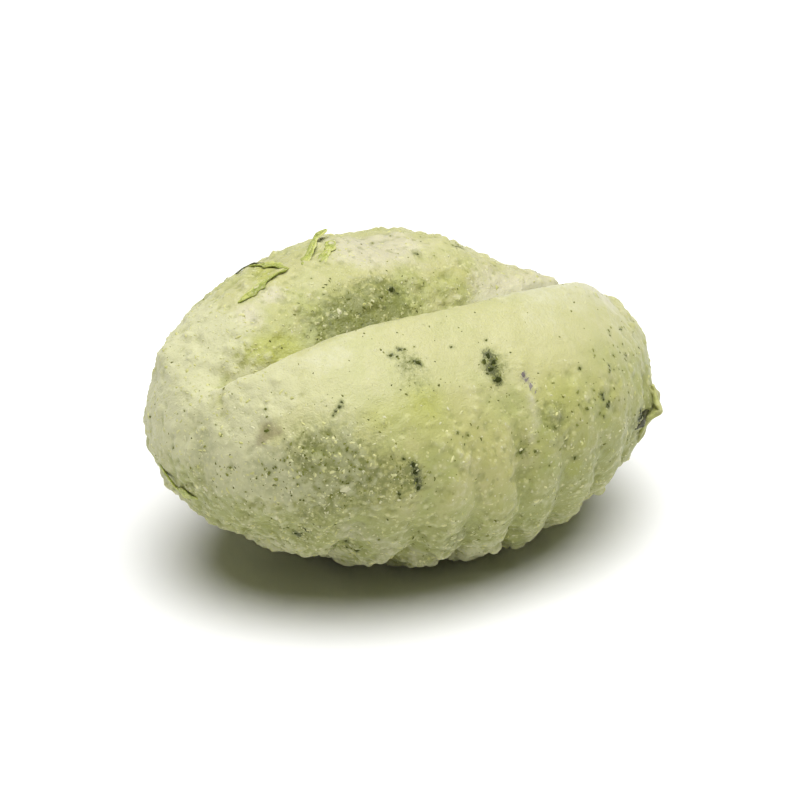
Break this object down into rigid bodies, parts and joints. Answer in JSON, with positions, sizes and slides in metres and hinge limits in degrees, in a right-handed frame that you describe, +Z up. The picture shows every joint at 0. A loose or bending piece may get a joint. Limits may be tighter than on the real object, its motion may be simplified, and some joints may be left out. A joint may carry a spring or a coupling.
{
  "type": "herb potato gnocco",
  "caption": "Oval potato dumpling of green herb dough, ridged round its outside and folded along its top, lying on its ridges.",
  "frame": {"origin": "on the surface that the gnocco rests on, under the middle of its outline", "axes": "+X runs along the roll, +Z is up, and -Y is the side of the smooth front lobe with the lip"},
  "size_m": [0.032, 0.0246, 0.0177],
  "materials": {
    "potato_dough": "matte, floury, pale green with dark herb flecks"
  },
  "bodies": {
    "root": {"gnocco": "potato_dough"}
  },
  "joints": []
}
